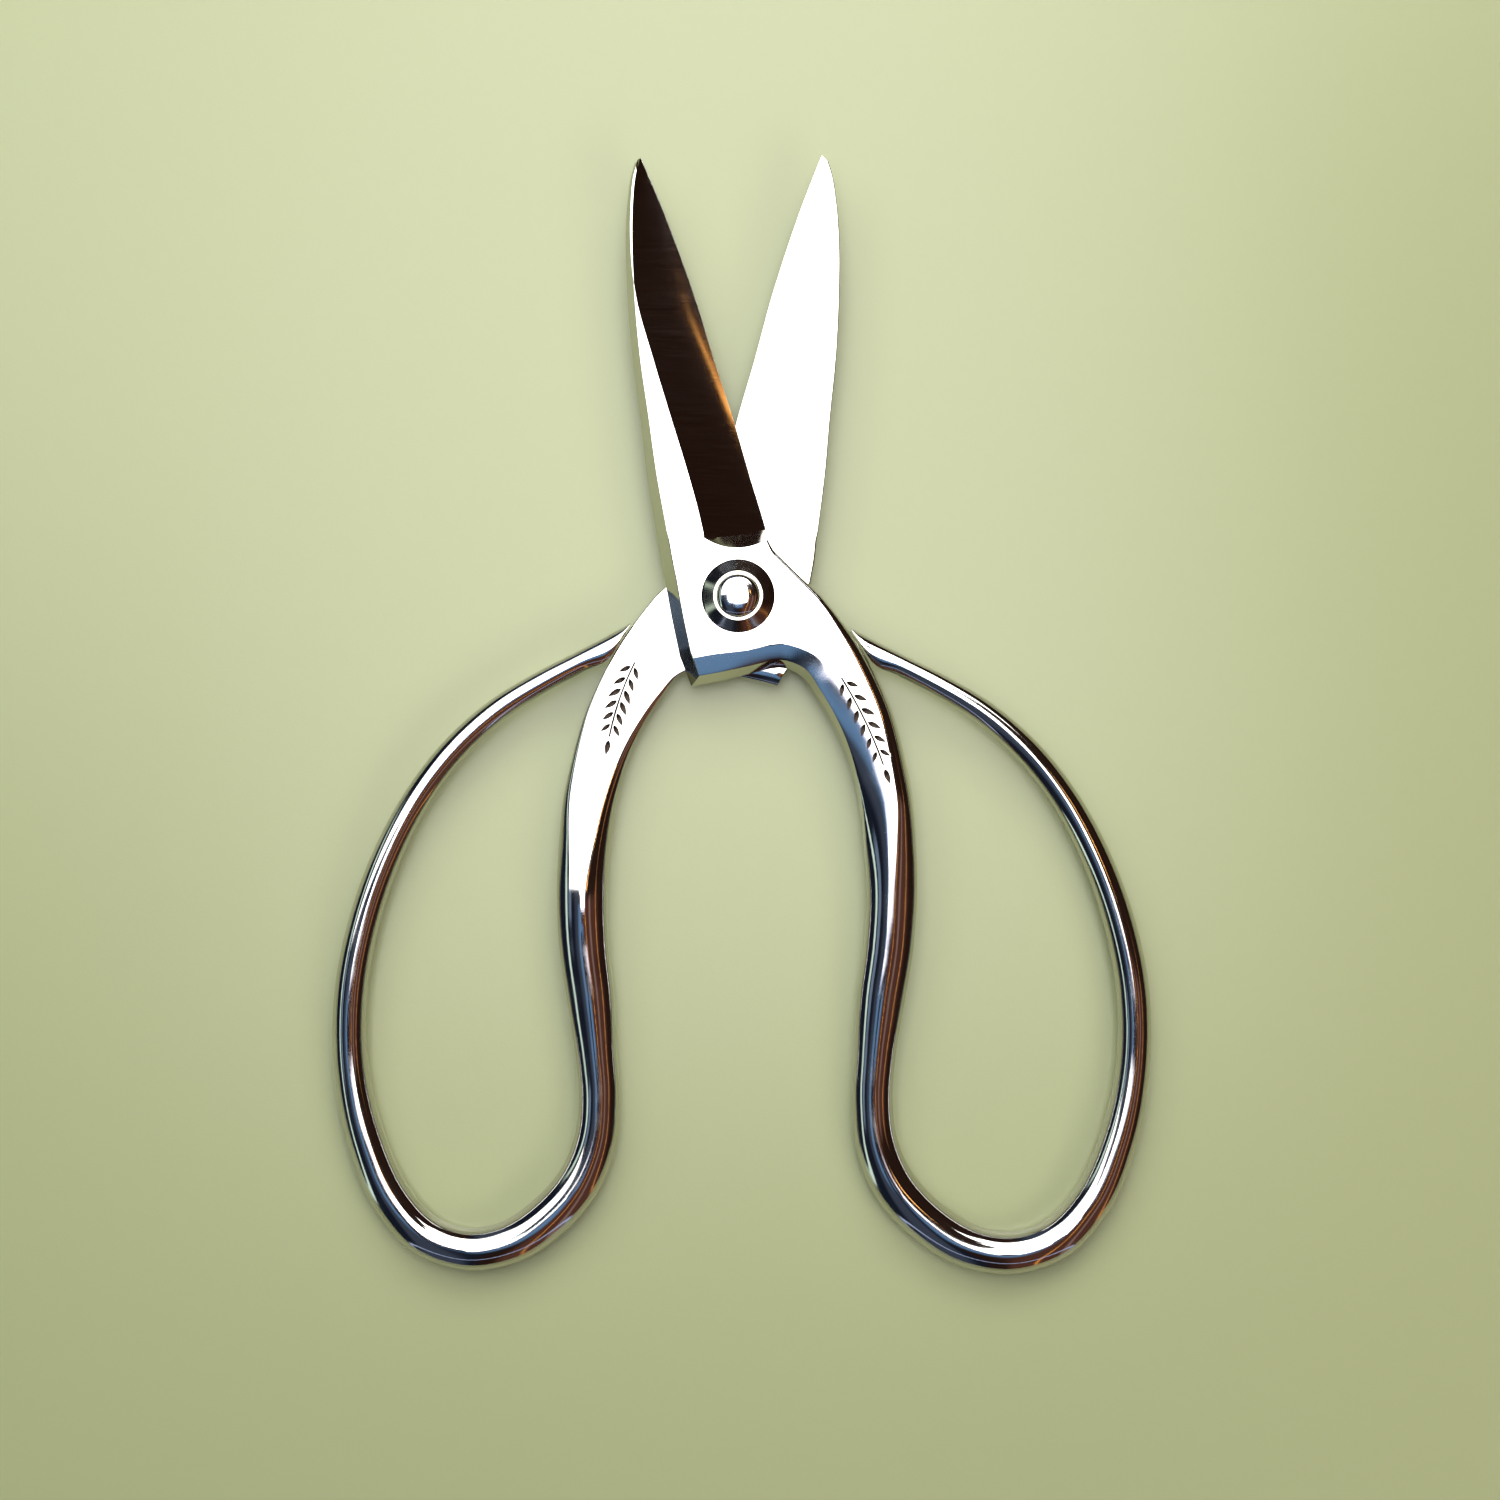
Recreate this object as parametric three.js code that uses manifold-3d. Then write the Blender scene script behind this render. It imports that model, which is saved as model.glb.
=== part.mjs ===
// Floral snips: two forged halves lapped on one rivet, each a blade and a closed-looking finger loop.
// Millimetres, +Z up. The pivot axis is Z, +Y points to the blade tips, and z = 0 is the flat
// on the rear end of the rivet, which the snips rest on.
import * as THREE from "three";
import * as BufferGeometryUtils from "three/addons/utils/BufferGeometryUtils.js";
import Module from "manifold-3d";

const wasm = await Module();
wasm.setup();

// ---- driving sizes -------------------------------------------------------------------------
const MATING_Z = 6.8; // height of the plane where the two halves rub
const LAP_GAP = 0.05; // each half stays this far off the mating plane
const BLOCK_THICK = 4.0; // thickness of a half around the rivet
const DRAFT = 0.43; // sideways lean of the forged sides per millimetre of height
const EDGE_THICK = 0.25; // thickness left at the cutting edge
const HOLLOW = 0.35; // how far the ground bevel dips below a straight one
const BORE_RADIUS = 3.0;
const SHAFT_RADIUS = 2.95;
const HEAD_RADIUS = 3.32; // rivet end where it is peened into the washer
const DOME_HEIGHT = 1.4;
const DOME_POWER = 2.7; // 2 would be an ellipse, more is flatter on top
const WASHER = { bore: 3.02, socket: 3.4, rim: 3.78, outer: 5.62, edge: 0.35, height: 1.62 };
const WASHER_GAP = 0.03;
const SOCKET_DEPTH = 0.9; // depth of the washer's socket for the peened end
const REAR_TURN = THREE.MathUtils.degToRad(0.9); // the rear half sits this much anticlockwise

// The halves are forged by hand to one pattern, and the rear one differs a little: its blade is
// turned in the plane, the inner leg of its finger loop stands further out, the end of the
// loop's outer leg reaches further up the shank and its heel is drawn in.
const FRONT_SET = { bladeTurn: 0, legShift: 0, loopShort: 0, endPush: 0, heelIn: 0 };
const REAR_SET = {
  bladeTurn: THREE.MathUtils.degToRad(-0.9),
  legShift: 2.0,
  loopShort: 0.012,
  endPush: 1.3,
  heelIn: 1.4,
};
const UP_SHANK = [-0.58, 0.81]; // direction of the shank's edge where the loop's end lies along it
const PUSH_FROM_Y = -70; // the outer leg is pushed up more and more from here
const PUSH_FULL_Y = -20;
const LEG_X = 20; // the inner leg of the loop
const LOOP_X = 60; // the outer side of the loop

const ROUND_SIDES = 32;
const SPLIT = { face: 4, corner: 3, hollow: 4, land: 3 }; // steps round one cross-section
const RIB_STEP = 4.6; // longest distance between cross-sections

// ---- cross-sections of one half ------------------------------------------------------------
// A rib crosses the forging from its left outline to its right outline, seen from the front.
// Each side has a rounded lower corner (under), a leaning wall (lean) and a rounded upper
// corner (roll): each pair is [inwards, height]. Power 2 rolls a corner round, and 1 would cut
// it straight.
function side(under, lean, roll, power = 2, underPower = 2) {
  return { under, lean, roll, power, underPower };
}

function rightSide(lean, roll) {
  return side([0.3, 0.25], lean, roll);
}

const FORGED_SIDE = side([0.3, 0.25], BLOCK_THICK * DRAFT, [0.2, 0.15]);
const KEEN_SIDE = side([0.05, 0.05], 0.02, [0.05, 0.05]);

function bladeRib(left, bevel, right, thick, sag = 0) {
  const spine = side([0.15, 0.12], thick * DRAFT, [0.08, 0.08]);
  return { left, bevel, right, low: 0, high: thick, ground: true, sag, sides: [spine, KEEN_SIDE] };
}

function blockRib(left, right, sides, more = {}) {
  return { left, bevel: null, right, low: 0, high: BLOCK_THICK, ground: false, sag: 0, sides, ...more };
}

// A rib of the shank: the same lower corner on both sides, then lean, roll and power of each.
function shankRib(left, right, under, leftForm, rightForm, low, high = BLOCK_THICK) {
  return blockRib(left, right, [side(under, ...leftForm), side(under, ...rightForm)], { low, high });
}

const BLADE = [
  bladeRib([-15.95, 66.9], [-15.5, 67.3], [-15.0, 67.7], 1.1),
  bladeRib([-16.6, 64.5], [-16.15, 64.5], [-13.6, 64.5], 1.5),
  bladeRib([-17.1, 60.5], [-16.5, 60.5], [-11.9, 60.5], 1.9),
  bladeRib([-17.35, 54.3], [-16.55, 54.3], [-9.5, 54.3], 2.3),
  bladeRib([-17.05, 45.8], [-15.65, 45.8], [-6.5, 45.8], 2.55),
  bladeRib([-16.3, 36.6], [-13.1, 36.6], [-3.7, 36.6], 2.8),
  bladeRib([-15.1, 27.5], [-10.35, 27.5], [-0.75, 27.5], 3.05),
  bladeRib([-13.95, 18.0], [-7.45, 18.0], [2.0, 18.0], 3.5),
  bladeRib([-13.0, 12.0], [-5.85, 12.0], [3.75, 12.3], 3.8),
];
const SHOULDER_FOOT = bladeRib([-12.6, 9.6], [-5.17, 8.95], [4.3, 10.4], 3.9, 0.3);
const SHOULDER_CREST = blockRib([-12.4, 8.4], [4.7, 8.7], [FORGED_SIDE, rightSide(0.2, [0.3, 0.25])], {
  bevel: [-5.1, 8.8],
  sag: 1.3,
});
const HEEL_ROLLED = side([2.2, 0.7], 1.3, [2.9, 0.42], 1.08);
const LEFT_ROLLED = side([0.3, 0.25], 1.1, [2.4, 0.45], 1.08);
const BLOCK = [
  blockRib([-11.9, 5.5], [5.6, 7.1], [FORGED_SIDE, rightSide(0.2, [0.5, 0.4])]),
  blockRib([-11.2, 2.0], [6.9, 5.8], [FORGED_SIDE, rightSide(0.2, [0.6, 0.5])]),
  blockRib([-10.3, -3.0], [9.0, 3.8], [FORGED_SIDE, rightSide(0.25, [0.6, 0.5])]),
  blockRib([-9.0, -9.2], [11.4, 1.6], [FORGED_SIDE, rightSide(0.3, [0.7, 0.6])]),
];
const HEEL = blockRib([-7.2, -13.8], [12.9, 0.2], [HEEL_ROLLED, rightSide(0.3, [0.8, 0.7])], {
  before: FORGED_SIDE,
});
const SHANK = [
  blockRib([-2.8, -13.0], [14.5, -1.7], [HEEL_ROLLED, rightSide(0.3, [0.9, 0.8])]),
  blockRib([2.4, -11.7], [16.3, -4.0], [LEFT_ROLLED, rightSide(0.3, [1.2, 1.0])]),
  blockRib([6.3, -10.9], [18.3, -6.8], [LEFT_ROLLED, rightSide(0.3, [1.5, 1.2])]),
  blockRib([8.8, -11.6], [20.2, -10.0], [LEFT_ROLLED, rightSide(0.3, [1.7, 1.4])]),
  shankRib([11.8, -15.0], [23.3, -16.5], [0.7, 0.5], [1.0, [2.6, 0.4], 1.1], [0.3, [1.9, 1.6]], 0),
  shankRib([14.8, -19.9], [24.8, -21.2], [1.2, 0.8], [0.8, [2.9, 0.5], 1.1], [0.3, [2.1, 1.8]], -0.15),
  shankRib([16.9, -24.8], [26.0, -26.2], [1.6, 1.1], [0.6, [3.3, 0.7], 1.2], [0.3, [2.3, 2.0]], -0.65),
  shankRib([18.6, -31.3], [27.0, -31.5], [2.1, 1.7], [0.4, [3.8, 1.1], 1.3], [0.3, [2.6, 2.1]], -1.6),
  shankRib([19.3, -37.5], [27.5, -37.7], [2.9, 2.6], [0.2, [4.0, 1.8], 1.5], [0.2, [3.2, 2.2], 1.8], -2.6, 3.9),
];

// The finger loop is a bar. Each entry is [x, y, diameter] along its centreline.
const LOOP = [
  [23.7, -45.0, 7.7],
  [23.2, -54.0, 7.5],
  [22.0, -62.2, 7.2],
  [21.1, -70.6, 6.3],
  [20.7, -77.7, 6.2],
  [21.4, -84.3, 6.5],
  [24.1, -90.7, 6.8],
  [28.9, -96.0, 6.9],
  [35.2, -100.0, 6.8],
  [42.0, -101.2, 6.6],
  [48.9, -99.1, 6.5],
  [54.5, -93.2, 6.2],
  [58.6, -83.8, 5.8],
  [60.9, -72.4, 5.2],
  [60.9, -61.0, 5.1],
  [58.6, -49.4, 4.8],
  [55.0, -39.6, 4.5],
  [50.6, -31.4, 4.2],
  [44.9, -24.0, 4.0],
  [38.2, -18.0, 3.7],
  [30.7, -13.4, 3.4],
  [25.4, -10.7, 3.2],
];
const OUTER_LEG = 9; // entries of LOOP after this one are its outer leg
// The bar ends cut off along the shank: left and right outline points, thickness, how far across
// its crest is, and how far down its half thickness the right wall starts.
const FEATHER = [
  { left: [20.6, -6.5], right: [20.7, -9.75], thick: 3.2, crest: 0.58, drop: 0.28 },
  { left: [18.85, -5.55], right: [19.0, -7.3], thick: 3.1, crest: 0.9, drop: 0.1 },
  { left: [17.5, -4.85], right: [17.6, -5.25], thick: 1.9, crest: 0.85, drop: 0.1 },
];

const BAR_ROUND = 0.96; // part of the bar's half width that is curved, the rest being flat

const LEG_END = 7; // up to this entry of LOOP the leg is flatter than round, with a soft ridge
const LEG_FLAT = 0.62;
const LEG_POWER = 1.7;

function barRib(left, right, thick, roundness = 1) {
  const halfWidth = (Math.hypot(right[0] - left[0], right[1] - left[1]) / 2) * BAR_ROUND;
  const quarter = [halfWidth, (thick / 2) * THREE.MathUtils.lerp(LEG_FLAT, 1, roundness)];
  const power = THREE.MathUtils.lerp(LEG_POWER, 2, roundness);
  const curved = side(quarter, 0, quarter, power, power);
  return overPlane(left, right, thick, [curved, curved]);
}

// A section of the bar cut off by the shank: its right side is a wall that starts below the crest.
function featherRib({ left, right, thick, crest, drop }) {
  const width = Math.hypot(right[0] - left[0], right[1] - left[1]);
  const outer = [width * crest, thick / 2];
  const inner = [width * (1 - crest) * BAR_ROUND, (thick / 2) * drop];
  return overPlane(left, right, thick, [side(outer, 0, outer), side(inner, 0, inner)]);
}

// A rib of the bar, half of it on each side of the mating plane.
function overPlane(left, right, thick, sides) {
  return blockRib(left, right, sides, { low: -thick / 2 - LAP_GAP, high: thick / 2 - LAP_GAP, isBar: true });
}

function loopRib(line, index) {
  const [x, y, diameter] = line[index];
  const next = line[Math.min(index + 1, line.length - 1)];
  const last = line[Math.max(index - 1, 0)];
  const run = Math.hypot(next[0] - last[0], next[1] - last[1]);
  const across = [(next[1] - last[1]) / run, -(next[0] - last[0]) / run];
  const reach = diameter / 2;
  const left = [x + across[0] * reach, y + across[1] * reach];
  const right = [x - across[0] * reach, y - across[1] * reach];
  return barRib(left, right, diameter, Math.min(index / LEG_END, 1) ** 2);
}

function turnBlade([x, y], handSet) {
  const cosine = Math.cos(handSet.bladeTurn);
  const sine = Math.sin(handSet.bladeTurn);
  return [x * cosine - y * sine, x * sine + y * cosine];
}

function setLoop([x, y], handSet) {
  const depth = THREE.MathUtils.clamp((-12 - y) / 55, 0, 1);
  const inward = (LOOP_X - x) / (LOOP_X - LEG_X);
  return [x + handSet.legShift * depth * inward, y * (1 - handSet.loopShort * depth)];
}

function pushEnd([x, y], handSet) {
  const part = THREE.MathUtils.clamp((y - PUSH_FROM_Y) / (PUSH_FULL_Y - PUSH_FROM_Y), 0, 1);
  return [x + UP_SHANK[0] * part * handSet.endPush, y + UP_SHANK[1] * part * handSet.endPush];
}

function drawIn([x, y], handSet) {
  return [x + handSet.heelIn, y];
}

function resetRib(rib, move, handSet) {
  return {
    ...rib,
    left: move(rib.left, handSet),
    bevel: rib.bevel && move(rib.bevel, handSet),
    right: move(rib.right, handSet),
  };
}

function allRibs(handSet) {
  const loopLine = LOOP.map(([x, y, diameter], index) => {
    const set = setLoop([x, y], handSet);
    return [...(index > OUTER_LEG ? pushEnd(set, handSet) : set), diameter];
  });
  const loop = loopLine.map((_, index) => loopRib(loopLine, index));
  const feather = FEATHER.map((end) => resetRib(featherRib(end), pushEnd, handSet));
  const blade = [...BLADE, SHOULDER_FOOT, SHOULDER_CREST].map((rib) => resetRib(rib, turnBlade, handSet));
  const shank = SHANK.map((rib) => resetRib(rib, setLoop, handSet));
  const heelRib = { ...HEEL, left: drawIn(HEEL.left, handSet) };
  const ribs = [...blade, ...BLOCK, heelRib, ...shank, ...loop, ...feather];
  const heel = ribs.indexOf(heelRib);
  return { ribs, corners: [blade.length - 2, blade.length - 1, heel - 1, heel] };
}

// ---- from ribs to a surface ----------------------------------------------------------------
function unitNormal(from, to, turn) {
  const run = Math.hypot(to[0] - from[0], to[1] - from[1]);
  return [(-turn * (to[1] - from[1])) / run, (turn * (to[0] - from[0])) / run];
}

// Moves an outline's corner inwards by one distance from the edge before and another from the
// edge after, so that a mitre between two different chamfers comes out right.
function insetter(points, index, turn) {
  const here = points[index];
  const before = unitNormal(points[Math.max(index - 1, 0)], points[Math.max(index, 1)], turn);
  const after = unitNormal(
    points[Math.min(index, points.length - 2)],
    points[Math.min(index + 1, points.length - 1)],
    turn,
  );
  const dot = before[0] * after[0] + before[1] * after[1];
  if (dot > 0.98) {
    return (reach) => [0, 1].map((axis) => here[axis] + (reach * (before[axis] + after[axis])) / (1 + dot));
  }
  return (reach, reachBefore = reach) =>
    [0, 1].map((axis) => {
      const along = reachBefore * (before[axis] - dot * after[axis]) + reach * (after[axis] - dot * before[axis]);
      return here[axis] + along / (1 - dot * dot);
    });
}

function towards(from, to) {
  const run = Math.hypot(to[0] - from[0], to[1] - from[1]);
  return (reach) => mix(from, to, reach / run);
}

function mix(a, b, part) {
  return a.map((value, axis) => value + (b[axis] - value) * part);
}

// One side of a section from the mating face up to the top face.
function sideProfile(inset, form, before, low, top) {
  const points = [];
  const place = (in1, in0, z) => points.push([...inset(in1, in0), z]);
  const underBend = 2 / form.underPower;
  for (let step = 0; step <= SPLIT.corner; step += 1) {
    const angle = (step / SPLIT.corner) * (Math.PI / 2);
    const inwards = 1 - Math.sin(angle) ** underBend;
    const rise = form.under[1] * (1 - Math.max(0, Math.cos(angle)) ** underBend);
    place(form.under[0] * inwards, before.under[0] * inwards, low + rise);
  }
  const bend = 2 / form.power;
  for (let step = 0; step <= SPLIT.corner; step += 1) {
    const angle = (step / SPLIT.corner) * (Math.PI / 2);
    const inwards = 1 - Math.max(0, Math.cos(angle)) ** bend;
    const drop = form.roll[1] * (1 - Math.sin(angle) ** bend);
    place(form.lean + form.roll[0] * inwards, before.lean + before.roll[0] * inwards, top - drop);
  }
  return points;
}

// The closed ring of points of one rib, starting on the mating face at the left.
function section(ribs, index) {
  const rib = ribs[index];
  const floor = MATING_Z + LAP_GAP;
  const low = floor + rib.low;
  const high = floor + rib.high;
  const keenTop = rib.ground ? low + EDGE_THICK : high;
  const leftInset = rib.isBar ? towards(rib.left, rib.right) : insetter(ribs.map((one) => one.left), index, 1);
  const rightInset = rib.isBar ? towards(rib.right, rib.left) : insetter(ribs.map((one) => one.right), index, -1);
  const left = sideProfile(leftInset, rib.sides[0], rib.before ?? rib.sides[0], low, high);
  const right = sideProfile(rightInset, rib.sides[1], rib.sides[1], low, keenTop);
  const ring = [];
  for (let step = 1; step < SPLIT.face; step += 1) {
    ring.push(mix(left[0], right[0], step / SPLIT.face));
  }
  ring.push(...right);
  const edge = right.at(-1);
  const bevel = rib.bevel ? [...rib.bevel, high] : mix(left.at(-1), edge, 0.5);
  const along = rib.bevel ? unitNormal(bevel, edge, -1) : [0, 0];
  for (let step = 1; step <= SPLIT.hollow; step += 1) {
    const part = 1 - step / SPLIT.hollow;
    const point = mix(bevel, edge, part);
    const bow = 4 * part * (1 - part) * rib.sag;
    point[0] += along[0] * bow;
    point[1] += along[1] * bow;
    point[2] -= rib.ground ? (high - keenTop) * HOLLOW * part * (1 - part) : 0;
    ring.push(point);
  }
  for (let step = 1; step < SPLIT.land; step += 1) {
    ring.push(mix(bevel, left.at(-1), step / SPLIT.land));
  }
  ring.push(...left.reverse());
  return ring;
}

// A smooth curve through values a, b at spacing h with neighbours' slopes.
function hermite(a, b, slopeA, slopeB, span, part) {
  const square = part * part;
  const cube = square * part;
  const fromA = a * (2 * cube - 3 * square + 1) + span * slopeA * (cube - 2 * square + part);
  return fromA + b * (3 * square - 2 * cube) + span * slopeB * (cube - square);
}

function ribPositions(ribs) {
  const middle = ribs.map((rib) => mix(rib.left, rib.right, 0.5));
  const positions = [0];
  for (let index = 1; index < ribs.length; index += 1) {
    const step = Math.hypot(middle[index][0] - middle[index - 1][0], middle[index][1] - middle[index - 1][1]);
    positions.push(positions[index - 1] + step);
  }
  return positions;
}

// Slope of one coordinate at a rib, one-sided at the ends and at the forging's corners.
function slopeAt(values, positions, index, corners, fromLeft) {
  const chord = (a, b) => (values[b] - values[a]) / (positions[b] - positions[a]);
  const last = values.length - 1;
  const atCorner = corners.includes(index);
  if (index === 0 || (atCorner && !fromLeft)) {
    return chord(index, index + 1);
  }
  if (index === last || atCorner) {
    return chord(index - 1, index);
  }
  const before = positions[index] - positions[index - 1];
  const after = positions[index + 1] - positions[index];
  return (chord(index - 1, index) * after + chord(index, index + 1) * before) / (before + after);
}

function sweptRings(handSet) {
  const { ribs, corners } = allRibs(handSet);
  const sections = ribs.map((_, index) => section(ribs, index));
  const positions = ribPositions(ribs);
  const rings = [];
  for (let index = 0; index < ribs.length - 1; index += 1) {
    const span = positions[index + 1] - positions[index];
    const steps = Math.ceil(span / RIB_STEP);
    for (let step = 0; step < steps; step += 1) {
      const ring = sections[index].map((start, point) =>
        start.map((from, axis) => {
          const values = sections.map((one) => one[point][axis]);
          const slopeA = slopeAt(values, positions, index, corners, false);
          const slopeB = slopeAt(values, positions, index + 1, corners, true);
          return hermite(from, values[index + 1], slopeA, slopeB, span, step / steps);
        }),
      );
      rings.push(ring);
    }
  }
  rings.push(sections.at(-1));
  return rings;
}

function closedSurface(rings) {
  const sides = rings[0].length;
  const points = rings.flat();
  const faces = [];
  for (let row = 0; row < rings.length - 1; row += 1) {
    for (let column = 0; column < sides; column += 1) {
      const next = (column + 1) % sides;
      const a = row * sides + column;
      const b = row * sides + next;
      const c = a + sides;
      const d = b + sides;
      faces.push(a, b, d, a, d, c);
    }
  }
  const ends = [0, rings.length - 1];
  ends.forEach((row, end) => {
    const sum = rings[row].reduce((total, point) => total.map((value, axis) => value + point[axis]), [0, 0, 0]);
    const hub = points.push(sum.map((value) => value / sides)) - 1;
    for (let column = 0; column < sides; column += 1) {
      const a = row * sides + column;
      const b = row * sides + ((column + 1) % sides);
      faces.push(...(end === 0 ? [hub, b, a] : [hub, a, b]));
    }
  });
  const geometry = new THREE.BufferGeometry();
  geometry.setAttribute("position", new THREE.Float32BufferAttribute(points.flat(), 3));
  geometry.setIndex(faces);
  return geometry;
}

// ---- joining and cutting -------------------------------------------------------------------
function toManifold(geometry) {
  const bare = geometry.clone();
  bare.deleteAttribute("normal");
  bare.deleteAttribute("uv");
  const merged = BufferGeometryUtils.mergeVertices(bare, 1e-4);
  const vertProperties = new Float32Array(merged.attributes.position.array);
  const triVerts = new Uint32Array(merged.index.array);
  return new wasm.Manifold(new wasm.Mesh({ numProp: 3, vertProperties, triVerts }));
}

function toGeometry(solid) {
  const mesh = solid.getMesh();
  const geometry = new THREE.BufferGeometry();
  geometry.setAttribute("position", new THREE.BufferAttribute(new Float32Array(mesh.vertProperties), 3));
  geometry.setIndex(new THREE.BufferAttribute(new Uint32Array(mesh.triVerts), 1));
  geometry.computeVertexNormals();
  return geometry;
}

// ---- pieces --------------------------------------------------------------------------------
function forgedHalf(handSet) {
  const bore = new THREE.CylinderGeometry(BORE_RADIUS, BORE_RADIUS, 4 * BLOCK_THICK, ROUND_SIDES);
  bore.rotateX(Math.PI / 2);
  bore.translate(0, 0, MATING_Z + BLOCK_THICK / 2);
  const forging = toManifold(closedSurface(sweptRings(handSet)));
  return toGeometry(forging.subtract(toManifold(bore)));
}

// A turned piece from [radius, height] points listed upwards round its outside.
function turned(profile) {
  const geometry = new THREE.LatheGeometry(profile.map(([r, z]) => new THREE.Vector2(r, z)), ROUND_SIDES);
  geometry.rotateX(Math.PI / 2);
  return toGeometry(toManifold(geometry));
}

const FRONT_FACE = MATING_Z + LAP_GAP + BLOCK_THICK;
const WASHER_FOOT = FRONT_FACE + WASHER_GAP;
const WASHER_TOP = WASHER_FOOT + WASHER.height;

function washer() {
  const socketFloor = WASHER_TOP - SOCKET_DEPTH;
  return turned([
    [WASHER.bore, WASHER_FOOT],
    [WASHER.outer, WASHER_FOOT],
    [WASHER.outer, WASHER_FOOT + WASHER.edge],
    [WASHER.rim, WASHER_TOP],
    [WASHER.socket, WASHER_TOP],
    [WASHER.socket, socketFloor],
    [WASHER.bore, socketFloor],
    [WASHER.bore, WASHER_FOOT],
  ]);
}

// Points of the rivet's domed end, from its axis out to the washer; flatHeight cuts its crown off.
function domedEnd(flatHeight) {
  const crown = Math.min(WASHER_TOP + DOME_HEIGHT, flatHeight);
  const bend = 2 / DOME_POWER;
  const narrowest = Math.acos(Math.min(1, (crown - WASHER_TOP) / DOME_HEIGHT) ** (1 / bend));
  const steps = 6;
  const points = narrowest > 0 ? [[0, crown]] : [];
  for (let step = 0; step <= steps; step += 1) {
    const angle = narrowest + ((Math.PI / 2 - narrowest) * step) / steps;
    const rise = Math.max(0, Math.cos(angle)) ** bend;
    points.push([HEAD_RADIUS * Math.sin(angle) ** bend, WASHER_TOP + DOME_HEIGHT * rise]);
  }
  const headFoot = WASHER_TOP - SOCKET_DEPTH + LAP_GAP;
  points.push([HEAD_RADIUS, headFoot], [SHAFT_RADIUS, headFoot]);
  return points;
}

function rivet() {
  const front = domedEnd(Infinity);
  const rear = domedEnd(2 * MATING_Z).map(([radius, height]) => [radius, 2 * MATING_Z - height]);
  return turned([...rear, ...front.reverse()]);
}

// ---- assembly ------------------------------------------------------------------------------
function steel(colour, roughness) {
  return new THREE.MeshStandardMaterial({ color: colour, roughness, metalness: 1 });
}

function piece(name, geometry, material) {
  const mesh = new THREE.Mesh(geometry, material);
  mesh.name = name;
  return mesh;
}

const snips = new THREE.Group();
const bright = steel(0xd4d6da, 0.12);
snips.add(piece("front_half", forgedHalf(FRONT_SET), bright));

// The rear half is the same pattern turned over about the long axis.
const rearSeat = new THREE.Group();
rearSeat.rotation.z = REAR_TURN;
const rearHalf = piece("rear_half", forgedHalf(REAR_SET), bright);
rearHalf.rotation.y = Math.PI;
rearHalf.position.z = 2 * MATING_Z;
rearSeat.add(rearHalf);
snips.add(rearSeat);

const washerSteel = steel(0xb9b6a8, 0.2);
snips.add(piece("front_washer", washer(), washerSteel));
const rearWasher = piece("rear_washer", washer(), washerSteel);
rearWasher.rotation.y = Math.PI;
rearWasher.position.z = 2 * MATING_Z;
snips.add(rearWasher);
snips.add(piece("pivot_rivet", rivet(), steel(0xc9cbd0, 0.15)));

export default snips;
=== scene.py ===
"""Floral snips: two mirror-polished steel halves lapped on one peened rivet, on a pale green floor.

Metres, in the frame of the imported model: the pivot axis is Z, +Y points to the blade tips, and z = 0
is the flat on the rear end of the rivet, which the snips rest on.
"""
import math

import bmesh
import bpy
import numpy as np
from mathutils import Matrix


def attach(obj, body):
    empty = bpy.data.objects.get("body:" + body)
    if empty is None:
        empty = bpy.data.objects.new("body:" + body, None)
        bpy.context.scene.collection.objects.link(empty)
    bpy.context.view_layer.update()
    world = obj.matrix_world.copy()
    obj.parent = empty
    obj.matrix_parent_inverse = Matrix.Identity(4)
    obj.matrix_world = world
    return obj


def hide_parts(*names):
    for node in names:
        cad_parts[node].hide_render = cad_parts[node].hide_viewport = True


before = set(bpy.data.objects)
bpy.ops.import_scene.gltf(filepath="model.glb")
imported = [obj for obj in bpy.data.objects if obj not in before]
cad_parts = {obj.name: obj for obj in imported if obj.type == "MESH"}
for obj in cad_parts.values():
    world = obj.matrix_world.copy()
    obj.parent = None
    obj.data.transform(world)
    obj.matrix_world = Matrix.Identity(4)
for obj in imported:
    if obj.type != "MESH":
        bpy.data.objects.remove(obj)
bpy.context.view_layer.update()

# ---- driving sizes, as in the CAD part ---------------------------------------------------------
MATING_Z = 0.0068  # height of the plane where the two halves rub
LAP_GAP = 0.00005  # each half stays this far off the mating plane
BLOCK_THICK = 0.004  # thickness of a half around the rivet
DRAFT = 0.43  # sideways lean of the forged sides for their height
EDGE_THICK = 0.00025  # thickness left at the cutting edge
HOLLOW = 0.35  # how far the ground bevel dips below a straight one
BORE_RADIUS = 0.003
SHAFT_RADIUS = 0.00295
HEAD_RADIUS = 0.00332  # rivet end where it is peened into the washer
DOME_HEIGHT = 0.0014
DOME_POWER = 2.7  # 2 would be an ellipse, more is flatter on top
WASHER_BORE = 0.00302
WASHER_SOCKET = 0.0034
WASHER_RIM = 0.00378
WASHER_OUTER = 0.00562
WASHER_EDGE = 0.00035
WASHER_HEIGHT = 0.00162
WASHER_EASE = 0.00009  # its edges are broken this much
WASHER_GAP = 0.00003
SOCKET_DEPTH = 0.0009  # depth of the washer's socket for the peened end
REAR_TURN = math.radians(0.9)  # the rear half sits this much anticlockwise

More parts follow.
